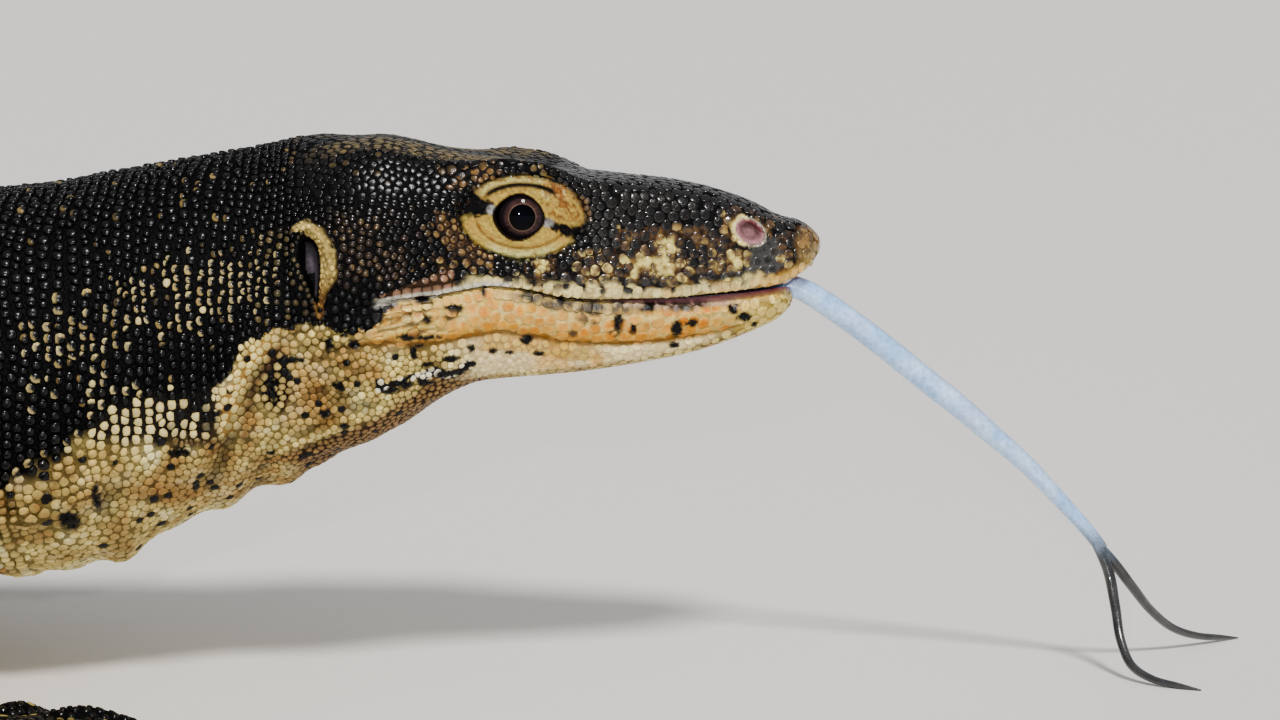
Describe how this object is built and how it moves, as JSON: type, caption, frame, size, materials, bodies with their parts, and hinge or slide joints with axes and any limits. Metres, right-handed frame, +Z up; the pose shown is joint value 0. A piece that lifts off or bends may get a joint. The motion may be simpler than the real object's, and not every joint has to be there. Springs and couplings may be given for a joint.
{
  "type": "water monitor lizard",
  "caption": "Life-size water monitor lizard standing on its bent legs, head raised, with a long forked tongue that touches the floor, curved claws and a long tail that lies in an S.",
  "frame": {"origin": "middle of the plan, at the floor", "axes": "+X the way the head points and the long way of the animal, +Y its left side, +Z up"},
  "size_m": [1.5546, 0.7024, 0.1211],
  "materials": {
    "dark_hide": "glossy black scaled hide with rows of yellow spots, satin",
    "pale_hide": "pale yellow and salmon scaled hide with black marks, satin",
    "eye_gloss": "dark red-brown eye, wet and glossy",
    "claw_horn": "dark horn, smooth",
    "tongue_wet": "pale blue tongue, wet, with dark tips"
  },
  "bodies": {
    "root": {"belly": "dark_hide", "chest": "dark_hide", "claw_front_left_1": "claw_horn", "claw_front_left_2": "claw_horn", "claw_front_left_3": "claw_horn", "claw_front_left_4": "claw_horn", "claw_front_left_5": "claw_horn", "claw_front_right_1": "claw_horn", "claw_front_right_2": "claw_horn", "claw_front_right_3": "claw_horn", "claw_front_right_4": "claw_horn", "claw_front_right_5": "claw_horn", "claw_hind_left_1": "claw_horn", "claw_hind_left_2": "claw_horn", "claw_hind_left_3": "claw_horn", "claw_hind_left_4": "claw_horn", "claw_hind_left_5": "claw_horn", "claw_hind_right_1": "claw_horn", "claw_hind_right_2": "claw_horn", "claw_hind_right_3": "claw_horn", "claw_hind_right_4": "claw_horn", "claw_hind_right_5": "claw_horn", "eye_left": "eye_gloss", "eye_right": "eye_gloss", "foot_hind_left": "dark_hide", "foot_hind_right": "dark_hide", "forearm_front_left": "dark_hide", "forearm_front_right": "dark_hide", "hand_front_left": "dark_hide", "hand_front_right": "dark_hide", "head": "dark_hide", "jaw": "pale_hide", "neck": "dark_hide", "pelvis": "dark_hide", "shank_hind_left": "dark_hide", "shank_hind_right": "dark_hide", "tail_1": "dark_hide", "tail_2": "dark_hide", "tail_3": "dark_hide", "tail_4": "dark_hide", "tail_5": "dark_hide", "tail_6": "dark_hide", "thigh_hind_left": "dark_hide", "thigh_hind_right": "dark_hide", "tongue": "tongue_wet", "upper_arm_front_left": "dark_hide", "upper_arm_front_right": "dark_hide"}
  },
  "joints": []
}
